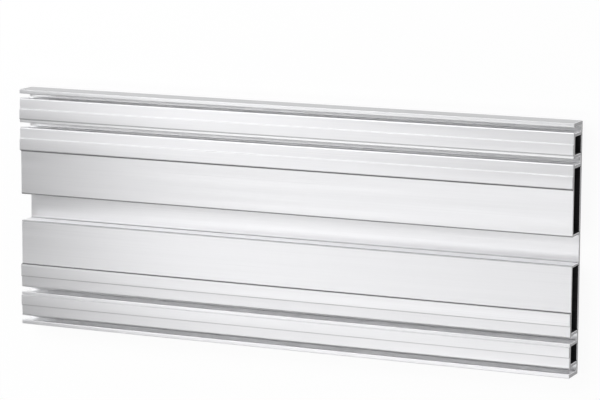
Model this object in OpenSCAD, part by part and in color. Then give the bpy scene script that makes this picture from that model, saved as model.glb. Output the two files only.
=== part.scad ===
// A cut length of a wide, flat, hollow aluminium extrusion with four hooked slots and a central channel.
// The back lies on the XY plane, the slotted front faces +Z, and the section is swept along X.
// The section is the same on both sides of the middle. Its places are counted inwards from the long edges.

/* [Stock] */
// Length of the cut piece, along X
stock_len = 500; // [60:5:1500]
// Width across the section, along Y
stock_w = 205; // [180:1:260]
// Thickness from the plain back to the raised bands of the front, along Z
stock_t = 22; // [17:0.5:32]
// Rounding of the two long edges of the back
back_edge_r = 0.6; // [0.2:0.1:1.2]
// Rounding of the two long edges of the front
lip_edge_r = 0.5; // [0.2:0.1:1]

/* [Walls] */
// Thickness of the back wall behind the chambers
back_wall = 2.8; // [1.6:0.1:4]
// Thickness of the front wall at the wide faces
front_wall = 1.9; // [1.3:0.1:3]
// Thickness of the web between a slot's hooked side and its chamber
slot_web = 2.6; // [1.4:0.1:3.6]
// Thickness of the web between an inner slot's straight side and the small chamber
rib_web = 2.4; // [1.4:0.1:3.4]
// Thickness of the web between the channel and each large chamber
channel_web = 1.8; // [1.2:0.1:3]
// Rounding inside the corners of the chambers
chamber_r = 1; // [0.3:0.1:1.4]

/* [Front relief] */
// Depth of the wide faces below the raised bands
face_drop = 2.4; // [1.9:0.1:3.2]
// Depth of the narrow strips and ribs below the raised bands
strip_drop = 1.1; // [0.7:0.1:1.4]
// Depth of the lips along the long edges below the raised bands
lip_drop = 0.9; // [0.4:0.1:1.4]
// Rounding of the raised bands' edges beside the strips and ribs
band_r = 0.3; // [0.1:0.05:0.35]
// Rounding of each inner band's edge beside its wide face
band_face_r = 0.9; // [0.3:0.1:1.1]
// Rounding inside the foot of the steps up from the strips and ribs
strip_foot_r = 0.3; // [0.1:0.05:0.4]
// Rounding inside the foot of the step up from each wide face
face_foot_r = 0.9; // [0.3:0.1:1.1]

/* [Outer slots] */
// Width of the lip along each long edge
lip_w = 3.7; // [2.6:0.1:6]
// Width of an outer slot's mouth
outer_mouth = 3.3; // [2:0.1:5]
// Width of the strip from an outer slot to the raised outer band
outer_strip_w = 9.9; // [8:0.1:13]
// Width of the raised outer band
outer_band_w = 8.8; // [6:0.1:12]
// Width of the rib between the raised outer band and an inner slot
rib_w = 2.9; // [2:0.1:5]

/* [Inner slots] */
// Width of an inner slot's mouth
inner_mouth = 3.7; // [2:0.1:6]
// Width of the strip from an inner slot to the raised inner band
inner_strip_w = 9.9; // [7:0.1:13]
// Width of the raised inner band beside each wide face
inner_band_w = 10.7; // [7:0.1:14]

/* [Slot shape] */
// Thickness of the metal under the floor of every slot
slot_floor = 3.2; // [2:0.1:6]
// Depth of the widened part of a slot below the raised bands
hook_depth = 4.1; // [3.4:0.1:5.5]
// Width that a slot gains behind its mouth, towards the middle of the section
deep_undercut = 1.4; // [0.6:0.1:3.6]
// Width that a slot gains behind its mouth, towards the long edge
shallow_undercut = 0.6; // [0.3:0.1:1.4]
// Rounding of the mouth's edge towards the middle of the section
mouth_r = 1.7; // [0.5:0.1:2]
// Rounding of the mouth's edge towards the long edge
lip_r = 0.8; // [0.3:0.1:1.2]
// Rounding inside the corners of the slots
slot_r = 0.5; // [0.2:0.1:0.9]

/* [Central channel] */
// Width of the channel between the two wide faces
channel_w = 22.8; // [12:0.1:34]
// Thickness of the metal under the floor of the channel
channel_floor = 3; // [2:0.1:6]
// Rounding of the two front edges of the channel
channel_edge_r = 0.9; // [0.3:0.1:1.2]
// Rounding inside the two floor corners of the channel
channel_r = 0.9; // [0.2:0.1:1.4]

/* [Hidden] */
$fn = 48;
over = 1;

// Places across one half of the section, from its long edge to its middle
edge_y = stock_w / 2;
outer_slot_hi = edge_y - lip_w;
outer_slot_lo = outer_slot_hi - outer_mouth;
outer_band_hi = outer_slot_lo - outer_strip_w;
outer_band_lo = outer_band_hi - outer_band_w;
inner_slot_hi = outer_band_lo - rib_w;
inner_slot_lo = inner_slot_hi - inner_mouth;
inner_band_hi = inner_slot_lo - inner_strip_w;
inner_band_lo = inner_band_hi - inner_band_w;
channel_y = channel_w / 2;

// Levels through the thickness
lip_z = stock_t - lip_drop;
strip_z = stock_t - strip_drop;
face_z = stock_t - face_drop;
chamber_top = face_z - front_wall;
hook_z = stock_t - hook_depth;

// What a rounded corner loses, with the metal on the positive side of both axes
module corner_loss(r) {
    difference() {
        translate([-over, -over]) square(r + over);
        translate([r, r]) circle(r);
    }
}

// Rounds the corner at a place, with the metal turned to lie at the given angle
module round_corner(y, z, r, turn) {
    translate([y, z]) rotate(turn) corner_loss(r);
}

// A space from one place and level to another, with its four corners rounded
module hollow(y_lo, y_hi, z_lo, z_hi, r) {
    difference() {
        translate([y_lo, z_lo]) square([y_hi - y_lo, z_hi - z_lo]);
        round_corner(y_lo, z_lo, r, 0);
        round_corner(y_hi, z_lo, r, 90);
        round_corner(y_hi, z_hi, r, 180);
        round_corner(y_lo, z_hi, r, 270);
    }
}

// A part of the front cut down to a level, from the wall that stays beside it to its open side
module relief(wall_y, open_y, z, foot_r) {
    difference() {
        translate([min(wall_y, open_y), z]) square([abs(open_y - wall_y), stock_t + over - z]);
        round_corner(wall_y, z, foot_r, wall_y < open_y ? 0 : 90);
    }
}

// A hooked slot whose mouth runs from one place to another, with its mouth's edges rounded
module slot(y_lo, y_hi, front_hi) {
    translate([y_lo, hook_z - over]) square([y_hi - y_lo, hook_depth + 2 * over]);
    hollow(y_lo - deep_undercut, y_hi + shallow_undercut, slot_floor, hook_z, slot_r);
    round_corner(y_lo, strip_z, mouth_r, 180);
    round_corner(y_hi, front_hi, lip_r, 270);
}

// The raised bands' rounded edges
module band_edges() {
    round_corner(outer_band_hi, stock_t, band_r, 180);
    round_corner(outer_band_lo, stock_t, band_r, 270);
    round_corner(inner_band_hi, stock_t, band_r, 180);
    round_corner(inner_band_lo, stock_t, band_face_r, 270);
}

// Everything that is hollow or cut down in one half of the section
module half_cuts() {
    translate([outer_slot_hi, lip_z]) square([lip_w + over, lip_drop + over]);
    relief(outer_band_hi, outer_slot_lo, strip_z, strip_foot_r);
    relief(outer_band_lo, inner_slot_hi, strip_z, strip_foot_r);
    relief(inner_band_hi, inner_slot_lo, strip_z, strip_foot_r);
    relief(inner_band_lo, channel_y, face_z, face_foot_r);
    band_edges();
    slot(outer_slot_lo, outer_slot_hi, lip_z);
    slot(inner_slot_lo, inner_slot_hi, strip_z);
    hollow(
        inner_slot_hi + shallow_undercut + rib_web,
        outer_slot_lo - deep_undercut - slot_web,
        back_wall, chamber_top, chamber_r
    );
    hollow(
        channel_y + channel_web,
        inner_slot_lo - deep_undercut - slot_web,
        back_wall, chamber_top, chamber_r
    );
    round_corner(channel_y, face_z, channel_edge_r, 270);
    round_corner(edge_y, 0, back_edge_r, 90);
    round_corner(edge_y, lip_z, lip_edge_r, 180);
}

// The channel along the middle, open to the front
module channel() {
    difference() {
        translate([-channel_y, channel_floor]) square([channel_w, stock_t + over - channel_floor]);
        round_corner(-channel_y, channel_floor, channel_r, 0);
        round_corner(channel_y, channel_floor, channel_r, 90);
    }
}

// The whole section, with Y across and Z through the thickness
module section() {
    difference() {
        translate([-edge_y, 0]) square([stock_w, stock_t]);
        half_cuts();
        mirror([1, 0]) half_cuts();
        channel();
    }
}

// The cut length of stock, centred on its length
module profile() {
    color([0.86, 0.87, 0.88])
        translate([-stock_len / 2, 0, 0])
            rotate([90, 0, 90])
                linear_extrude(stock_len)
                    section();
}

profile();
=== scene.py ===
import math

import bmesh
import bpy
from mathutils import Matrix, Vector


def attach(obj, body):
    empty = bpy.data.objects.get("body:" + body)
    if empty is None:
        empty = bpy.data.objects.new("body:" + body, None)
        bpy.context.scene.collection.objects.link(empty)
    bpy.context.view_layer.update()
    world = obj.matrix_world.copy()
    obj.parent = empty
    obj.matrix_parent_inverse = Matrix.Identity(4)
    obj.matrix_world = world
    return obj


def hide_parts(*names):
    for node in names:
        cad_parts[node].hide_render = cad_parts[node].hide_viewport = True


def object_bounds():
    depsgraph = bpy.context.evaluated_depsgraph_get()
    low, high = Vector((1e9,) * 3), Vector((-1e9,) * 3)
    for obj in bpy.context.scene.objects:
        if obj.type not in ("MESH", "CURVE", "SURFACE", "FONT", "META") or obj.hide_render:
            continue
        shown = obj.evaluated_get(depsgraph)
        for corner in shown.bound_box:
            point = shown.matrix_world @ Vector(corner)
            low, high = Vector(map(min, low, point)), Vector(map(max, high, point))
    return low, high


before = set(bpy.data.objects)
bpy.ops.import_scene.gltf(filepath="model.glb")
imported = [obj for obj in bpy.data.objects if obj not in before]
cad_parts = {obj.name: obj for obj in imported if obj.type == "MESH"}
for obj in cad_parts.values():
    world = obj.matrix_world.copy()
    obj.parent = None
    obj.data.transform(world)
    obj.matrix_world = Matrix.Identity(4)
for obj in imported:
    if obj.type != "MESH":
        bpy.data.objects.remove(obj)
cad_low, cad_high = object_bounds()

# The camera looks down on the slotted front, as the photograph does: turned towards the right-hand sawn end
# and raised a little towards the upper long edge. It is aimed close to the middle of the front.
camera_lens = 163.75
camera_turn = math.radians(24.295)
camera_rise = math.radians(9.302)
camera_roll = math.radians(0.229)
camera_distance = 2.2551
camera_aim_right = 0.01366
camera_aim_up = 0.02388

away = Vector((
    math.sin(camera_turn) * math.cos(camera_rise),
    math.sin(camera_rise),
    math.cos(camera_turn) * math.cos(camera_rise),
))
level_right = Vector((0, 1, 0)).cross(away).normalized()
level_up = away.cross(level_right)
camera_right = level_right * math.cos(camera_roll) + level_up * math.sin(camera_roll)
camera_up = level_up * math.cos(camera_roll) - level_right * math.sin(camera_roll)
aim = Vector((0, 0, cad_high[2])) + level_right * camera_aim_right + level_up * camera_aim_up

camera_data = bpy.data.cameras.new("camera")
camera_data.lens = camera_lens
camera_data.sensor_width = 36
camera_data.clip_end = 50
camera = bpy.data.objects.new("camera", camera_data)
camera.matrix_world = (
    Matrix.Translation(aim + away * camera_distance)
    @ Matrix((camera_right, camera_up, away)).transposed().to_4x4()
)
bpy.context.scene.collection.objects.link(camera)
bpy.context.scene.camera = camera

# The profile is one length of bare aluminium, pressed hot through a die and sawn to length at both ends.
# It keeps the exact section of its CAD node, and the saw's burr is filed off to a narrow bevel at each end.
# The outside is satin with fine die lines, with painted shade and highlights along its steps and painted
# shade on the long sides.
# The slots are smoother and painted lighter, the chambers painted dark as shade and the sawn ends matt and
# painted darker as shade.
burr_bevel = 0.00025
weld_distance = 0.000002
flat_angle = math.radians(0.5)
sharp_angle = math.radians(30)
end_facing = 0.9

cad_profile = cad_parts["profile"]
bpy.ops.object.select_all(action="DESELECT")
profile = cad_profile.copy()
profile.data = cad_profile.data.copy()
profile.name = "sawn_profile"
profile.parent = None
bpy.context.scene.collection.objects.link(profile)
profile.select_set(True)
bpy.context.view_layer.objects.active = profile
bpy.ops.mesh.customdata_custom_splitnormals_clear()
bpy.ops.object.mode_set(mode="EDIT")
bpy.ops.mesh.select_mode(type="FACE")
bpy.ops.mesh.select_all(action="SELECT")
bpy.ops.mesh.remove_doubles(threshold=weld_distance)
bpy.ops.mesh.dissolve_limited(angle_limit=flat_angle, delimit=set())

bpy.ops.mesh.select_all(action="DESELECT")
edit_mesh = bmesh.from_edit_mesh(profile.data)
for face in edit_mesh.faces:
    face.select = abs(face.normal.x) > end_facing
bmesh.update_edit_mesh(profile.data)
bpy.ops.mesh.inset(thickness=burr_bevel, use_even_offset=True, use_boundary=True)
edit_mesh = bmesh.from_edit_mesh(profile.data)
for vert in edit_mesh.verts:
    if not any(face.select for face in vert.link_faces):
        vert.co.x -= math.copysign(burr_bevel, vert.co.x)
bmesh.update_edit_mesh(profile.data)
bpy.ops.object.mode_set(mode="OBJECT")
bpy.ops.object.shade_smooth_by_angle(angle=sharp_angle)

# Die lines: fine ones under a millimetre apart, broad soft ones, and a few darker drag marks.
# Each kind has about so many lines in a metre, first along the length and then across it.
line_kinds = (("Fine", 9, 1100), ("Broad", 3, 150), ("Drag", 2.5, 420))
drag_start = 0.66
drag_full = 0.76
die_lines = bpy.data.node_groups.new("die_lines", "ShaderNodeTree")
die_lines.interface.new_socket("Vector", in_out="INPUT", socket_type="NodeSocketVector")
line_input = die_lines.nodes.new("NodeGroupInput")
line_output = die_lines.nodes.new("NodeGroupOutput")
for kind, along, across in line_kinds:
    die_lines.interface.new_socket(kind, in_out="OUTPUT", socket_type="NodeSocketFloat")
    stretch = die_lines.nodes.new("ShaderNodeMapping")
    stretch.inputs["Scale"].default_value = (along, across, across)
    noise = die_lines.nodes.new("ShaderNodeTexNoise")
    noise.inputs["Scale"].default_value = 1
    noise.inputs["Detail"].default_value = 3
    die_lines.links.new(line_input.outputs["Vector"], stretch.inputs["Vector"])
    die_lines.links.new(stretch.outputs["Vector"], noise.inputs["Vector"])
    strength = noise.outputs["Fac"]
    if kind == "Drag":
        sparse = die_lines.nodes.new("ShaderNodeMapRange")
        sparse.interpolation_type = "SMOOTHSTEP"
        sparse.inputs["From Min"].default_value = drag_start
        sparse.inputs["From Max"].default_value = drag_full
        die_lines.links.new(strength, sparse.inputs["Value"])
        strength = sparse.outputs["Result"]
    die_lines.links.new(strength, line_output.inputs[kind])

# Painted shade along the steps and channel corners, and painted highlights at some step edges, in the metal's
# colour.
# Each line has its place across the width, its level, its half width and what it does to the metal's tone.
painted_step_lines = (
    (0.0857, 0.0214, 0.0012, 1.1),
    (0.0769, 0.0214, 0.0012, 0.6),
    (0.0757, 0.0209, 0.0016, 1.1),
    (0.0604, 0.0214, 0.0012, 1.1),
    (0.0499, 0.0206, 0.0020, 0.1),
    (0.0117, 0.0194, 0.0013, 0.4),
    (0.0114, 0.0034, 0.0014, 0.7),
    (-0.0114, 0.0034, 0.0014, 0.7),
    (-0.0117, 0.0194, 0.0012, 0.58),
    (-0.0499, 0.0206, 0.0017, 0.15),
    (-0.0602, 0.0215, 0.0010, 0.68),
    (-0.0769, 0.0214, 0.0011, 0.85),
    (-0.0857, 0.0215, 0.0010, 0.68),
)
full_share = 0.35
painted_step_light = bpy.data.node_groups.new("painted_step_light", "ShaderNodeTree")
painted_step_light.interface.new_socket("Vector", in_out="INPUT", socket_type="NodeSocketVector")
painted_step_light.interface.new_socket("Tone", in_out="OUTPUT", socket_type="NodeSocketFloat")
step_input = painted_step_light.nodes.new("NodeGroupInput")
step_output = painted_step_light.nodes.new("NodeGroupOutput")
section_place = painted_step_light.nodes.new("ShaderNodeVectorMath")
section_place.operation = "MULTIPLY"
section_place.inputs[1].default_value = (0, 1, 1)
painted_step_light.links.new(step_input.outputs["Vector"], section_place.inputs[0])
tone_so_far = None
for line_y, line_z, half_width, painted_line_tone in painted_step_lines:
    apart = painted_step_light.nodes.new("ShaderNodeVectorMath")
    apart.operation = "DISTANCE"
    apart.inputs[1].default_value = (0, line_y, line_z)
    painted_step_light.links.new(section_place.outputs[0], apart.inputs[0])
    tone = painted_step_light.nodes.new("ShaderNodeMapRange")
    tone.interpolation_type = "SMOOTHSTEP"
    tone.inputs["From Min"].default_value = full_share * half_width
    tone.inputs["From Max"].default_value = half_width
    tone.inputs["To Min"].default_value = painted_line_tone
    tone.inputs["To Max"].default_value = 1
    painted_step_light.links.new(apart.outputs["Value"], tone.inputs["Value"])
    if tone_so_far is None:
        tone_so_far = tone.outputs["Result"]
        continue
    both = painted_step_light.nodes.new("ShaderNodeMath")
    both.operation = "MULTIPLY"
    painted_step_light.links.new(tone_so_far, both.inputs[0])
    painted_step_light.links.new(tone.outputs["Result"], both.inputs[1])
    tone_so_far = both.outputs[0]
painted_step_light.links.new(tone_so_far, step_output.inputs["Tone"])

# The noise behind the lines and the saw's marks mostly stays between these two values
noise_low = 0.3
noise_high = 0.7
broad_share = 0.5
drag_tone = 0.9


def tone_ramp(nodes, dark, light):
    """A blend from a dark to a light tone of the metal."""
    ramp = nodes.new("ShaderNodeValToRGB")
    ramp.color_ramp.elements[0].position = noise_low
    ramp.color_ramp.elements[0].color = (*dark, 1)
    ramp.color_ramp.elements[1].position = noise_high
    ramp.color_ramp.elements[1].color = (*light, 1)
    return ramp


def pressed_metal(name, dark, light, rough_low, rough_high, anisotropy, line_depth):
    """Aluminium as it comes from the die, with its tone, gloss and relief following the die lines, and
    painted shade and highlights along the steps.
    """
    metal = bpy.data.materials.new(name)
    metal.use_nodes = True
    nodes = metal.node_tree.nodes
    link = metal.node_tree.links.new
    shader = nodes["Principled BSDF"]
    shader.inputs["Metallic"].default_value = 1
    shader.inputs["Anisotropic"].default_value = anisotropy
    place = nodes.new("ShaderNodeTexCoord")
    lines = nodes.new("ShaderNodeGroup")
    lines.node_tree = die_lines
    link(place.outputs["Object"], lines.inputs["Vector"])
    blend = nodes.new("ShaderNodeMix")
    blend.data_type = "FLOAT"
    blend.inputs["Factor"].default_value = broad_share
    link(lines.outputs["Fine"], blend.inputs["A"])
    link(lines.outputs["Broad"], blend.inputs["B"])
    colour = tone_ramp(nodes, dark, light)
    link(blend.outputs["Result"], colour.inputs["Fac"])
    dragged = nodes.new("ShaderNodeMapRange")
    dragged.inputs["To Min"].default_value = 1
    dragged.inputs["To Max"].default_value = drag_tone
    link(lines.outputs["Drag"], dragged.inputs["Value"])
    # Painted shade and painted highlights along the steps scale the metal's colour here.
    steps = nodes.new("ShaderNodeGroup")
    steps.node_tree = painted_step_light
    link(place.outputs["Object"], steps.inputs["Vector"])
    share = nodes.new("ShaderNodeMath")
    share.operation = "MULTIPLY"
    link(dragged.outputs["Result"], share.inputs[0])
    link(steps.outputs["Tone"], share.inputs[1])
    toned = nodes.new("ShaderNodeVectorMath")
    toned.operation = "SCALE"
    link(colour.outputs["Color"], toned.inputs[0])
    link(share.outputs[0], toned.inputs["Scale"])
    link(toned.outputs[0], shader.inputs["Base Color"])
    gloss = nodes.new("ShaderNodeMapRange")
    gloss.inputs["From Min"].default_value = noise_low
    gloss.inputs["From Max"].default_value = noise_high
    gloss.inputs["To Min"].default_value = rough_low
    gloss.inputs["To Max"].default_value = rough_high
    link(lines.outputs["Broad"], gloss.inputs["Value"])
    link(gloss.outputs["Result"], shader.inputs["Roughness"])
    relief = nodes.new("ShaderNodeBump")
    relief.inputs["Distance"].default_value = line_depth
    link(lines.outputs["Fine"], relief.inputs["Height"])
    link(relief.outputs["Normal"], shader.inputs["Normal"])
    across_lines = nodes.new("ShaderNodeTangent")
    across_lines.direction_type = "RADIAL"
    across_lines.axis = "X"
    link(across_lines.outputs["Tangent"], shader.inputs["Tangent"])
    return metal


front_skin = pressed_metal("pressed_skin", (0.84, 0.84, 0.855), (0.88, 0.88, 0.895), 0.30, 0.36, 0.7, 0.00001)
# The long sides get a darker copy of the metal, as painted shade.
side_skin_painted_shade = pressed_metal("side_skin_painted_shade", (0.57, 0.57, 0.58), (0.62, 0.62, 0.63), 0.36, 0.42, 0.6, 0.00001)
# The slot walls get a lighter copy of the metal, as painted light in the slots.
slot_wall_painted_light = pressed_metal("slot_wall_painted_light", (0.95, 0.95, 0.96), (0.96, 0.96, 0.97), 0.28, 0.29, 0, 0)
# The chamber walls are painted nearly black, as painted shade inside the hollows.
chamber_painted_shade = pressed_metal("chamber_painted_shade", (0.1, 0.1, 0.105), (0.16, 0.16, 0.165), 0.5, 0.6, 0.3, 0.00002)

# The saw leaves both ends matt, and their darker colour is painted shade. Its teeth leave fine marks, in arcs
# about its axle below the back.
saw_axle = (0, -0.06, -0.21)
saw_marks = 1600
saw_mark_depth = 0.00003
# Both tones of the saw marks are darkened as painted shade.
sawn_dark = (0.27, 0.27, 0.275)
sawn_light = (0.4, 0.4, 0.405)
sawn_end_matt_and_shaded = bpy.data.materials.new("sawn_end_matt_and_shaded")
sawn_end_matt_and_shaded.use_nodes = True
nodes = sawn_end_matt_and_shaded.node_tree.nodes
link = sawn_end_matt_and_shaded.node_tree.links.new
shader = nodes["Principled BSDF"]
shader.inputs["Metallic"].default_value = 1
shader.inputs["Roughness"].default_value = 0.5
place = nodes.new("ShaderNodeTexCoord")
from_axle = nodes.new("ShaderNodeVectorMath")
from_axle.operation = "SUBTRACT"
from_axle.inputs[1].default_value = saw_axle
link(place.outputs["Object"], from_axle.inputs[0])
in_section = nodes.new("ShaderNodeVectorMath")
in_section.operation = "MULTIPLY"
in_section.inputs[1].default_value = (0, 1, 1)
link(from_axle.outputs[0], in_section.inputs[0])
reach = nodes.new("ShaderNodeVectorMath")
reach.operation = "LENGTH"
link(in_section.outputs[0], reach.inputs[0])
marks = nodes.new("ShaderNodeTexNoise")
marks.noise_dimensions = "1D"
marks.inputs["Scale"].default_value = saw_marks
marks.inputs["Detail"].default_value = 2
link(reach.outputs["Value"], marks.inputs["W"])
sawn_tone = tone_ramp(nodes, sawn_dark, sawn_light)
link(marks.outputs["Fac"], sawn_tone.inputs["Fac"])
link(sawn_tone.outputs["Color"], shader.inputs["Base Color"])
relief = nodes.new("ShaderNodeBump")
relief.inputs["Distance"].default_value = saw_mark_depth
link(marks.outputs["Fac"], relief.inputs["Height"])
link(relief.outputs["Normal"], shader.inputs["Normal"])

# Each face takes the metal of the part of the section that it lies in. Places are distances from the middle.
side_place = cad_high[1] - 0.0001
slot_places = ((0.0681, 0.0746), (0.0934, 0.0995))
slot_levels = (0.003, 0.0202)
chamber_places = ((0.0131, 0.0663), (0.0768, 0.0916))
chamber_levels = (0.0027, 0.0178)


def lies_in(face, places, levels):
    """Whether the middle of a face lies between two levels, in one of the places on either side."""
    low, high = levels
    return low < face.center.z < high and any(near < abs(face.center.y) < far for near, far in places)


metals = (front_skin, side_skin_painted_shade, slot_wall_painted_light, chamber_painted_shade, sawn_end_matt_and_shaded)
profile.data.materials.clear()
for metal in metals:
    profile.data.materials.append(metal)
for face in profile.data.polygons:
    metal = front_skin
    if abs(face.normal.x) > end_facing:
        metal = sawn_end_matt_and_shaded
    elif lies_in(face, slot_places, slot_levels):
        metal = slot_wall_painted_light
    elif lies_in(face, chamber_places, chamber_levels):
        metal = chamber_painted_shade
    elif abs(face.center.y) > side_place:
        metal = side_skin_painted_shade
    face.material_index = metals.index(metal)

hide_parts("profile")
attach(profile, "root")

# The floor is a wide sheet of plain pale paper, laid flat under the back of the profile.
# Camera, glossy and transmission rays see it nearly white, and it keeps the profile's soft shadow.
floor_size = 12
paper_colour = (0.8, 0.8, 0.8, 1)
shaded_colour = (0.13, 0.13, 0.13, 1)
floor_glow = 0.915
bpy.ops.mesh.primitive_plane_add(size=floor_size)
floor = bpy.context.object
floor.name = "floor"
paper = bpy.data.materials.new("pale_floor")
paper.use_nodes = True
nodes = paper.node_tree.nodes
link = paper.node_tree.links.new
nodes.remove(nodes["Principled BSDF"])
plain = nodes.new("ShaderNodeBsdfDiffuse")
plain.inputs["Color"].default_value = paper_colour
shaded = nodes.new("ShaderNodeBsdfDiffuse")
shaded.inputs["Color"].default_value = shaded_colour
glow = nodes.new("ShaderNodeEmission")
glow.inputs["Strength"].default_value = floor_glow
seen = nodes.new("ShaderNodeAddShader")
link(shaded.outputs[0], seen.inputs[0])
link(glow.outputs[0], seen.inputs[1])
ray = nodes.new("ShaderNodeLightPath")
sight = ray.outputs["Is Camera Ray"]
for ray_kind in ("Is Glossy Ray", "Is Transmission Ray"):
    either = nodes.new("ShaderNodeMath")
    either.operation = "MAXIMUM"
    link(sight, either.inputs[0])
    link(ray.outputs[ray_kind], either.inputs[1])
    sight = either.outputs[0]
choose = nodes.new("ShaderNodeMixShader")
link(sight, choose.inputs["Fac"])
link(plain.outputs[0], choose.inputs[1])
link(seen.outputs[0], choose.inputs[2])
link(choose.outputs[0], nodes["Material Output"].inputs["Surface"])
floor.data.materials.append(paper)

# The studio is a room with pale walls and a dim ceiling, under which two large softboxes hang level.
# The gap between them, and the ceiling beyond the lower one, keep the steps of the front readable.
wall_level = 0.9
ceiling_level = 0.15
wall_top = 0.15
ceiling_start = 0.5
softbox_height = 1.6
world = bpy.data.worlds.new("studio")
world.use_nodes = True
nodes = world.node_tree.nodes
link = world.node_tree.links.new
direction = nodes.new("ShaderNodeTexCoord")
rise = nodes.new("ShaderNodeSeparateXYZ")
link(direction.outputs["Generated"], rise.inputs[0])
room = nodes.new("ShaderNodeMapRange")
room.interpolation_type = "SMOOTHSTEP"
room.inputs["From Min"].default_value = wall_top
room.inputs["From Max"].default_value = ceiling_start
room.inputs["To Min"].default_value = wall_level
room.inputs["To Max"].default_value = ceiling_level
link(rise.outputs["Z"], room.inputs["Value"])
nodes["Background"].inputs["Color"].default_value = (1, 1, 1, 1)
link(room.outputs["Result"], nodes["Background"].inputs["Strength"])
bpy.context.scene.world = world


def softbox(name, centre, size, turn, radiance):
    """A flat rectangular lamp that faces straight down."""
    lamp = bpy.data.lights.new(name, "AREA")
    lamp.shape = "RECTANGLE"
    lamp.size, lamp.size_y = size
    lamp.energy = radiance * math.pi * lamp.size * lamp.size_y
    holder = bpy.data.objects.new(name, lamp)
    holder.location = (*centre, softbox_height)
    holder.rotation_euler = (0, 0, math.radians(turn))
    holder.visible_camera = False
    bpy.context.scene.collection.objects.link(holder)
    return holder


softbox("upper_softbox", (-0.65, 1.1), (1.8, 1.4), 34, 2.02)
softbox("lower_softbox", (-0.19, -0.5), (1.77, 0.5), 0, 1.88)

bpy.context.scene.view_settings.view_transform = "Standard"
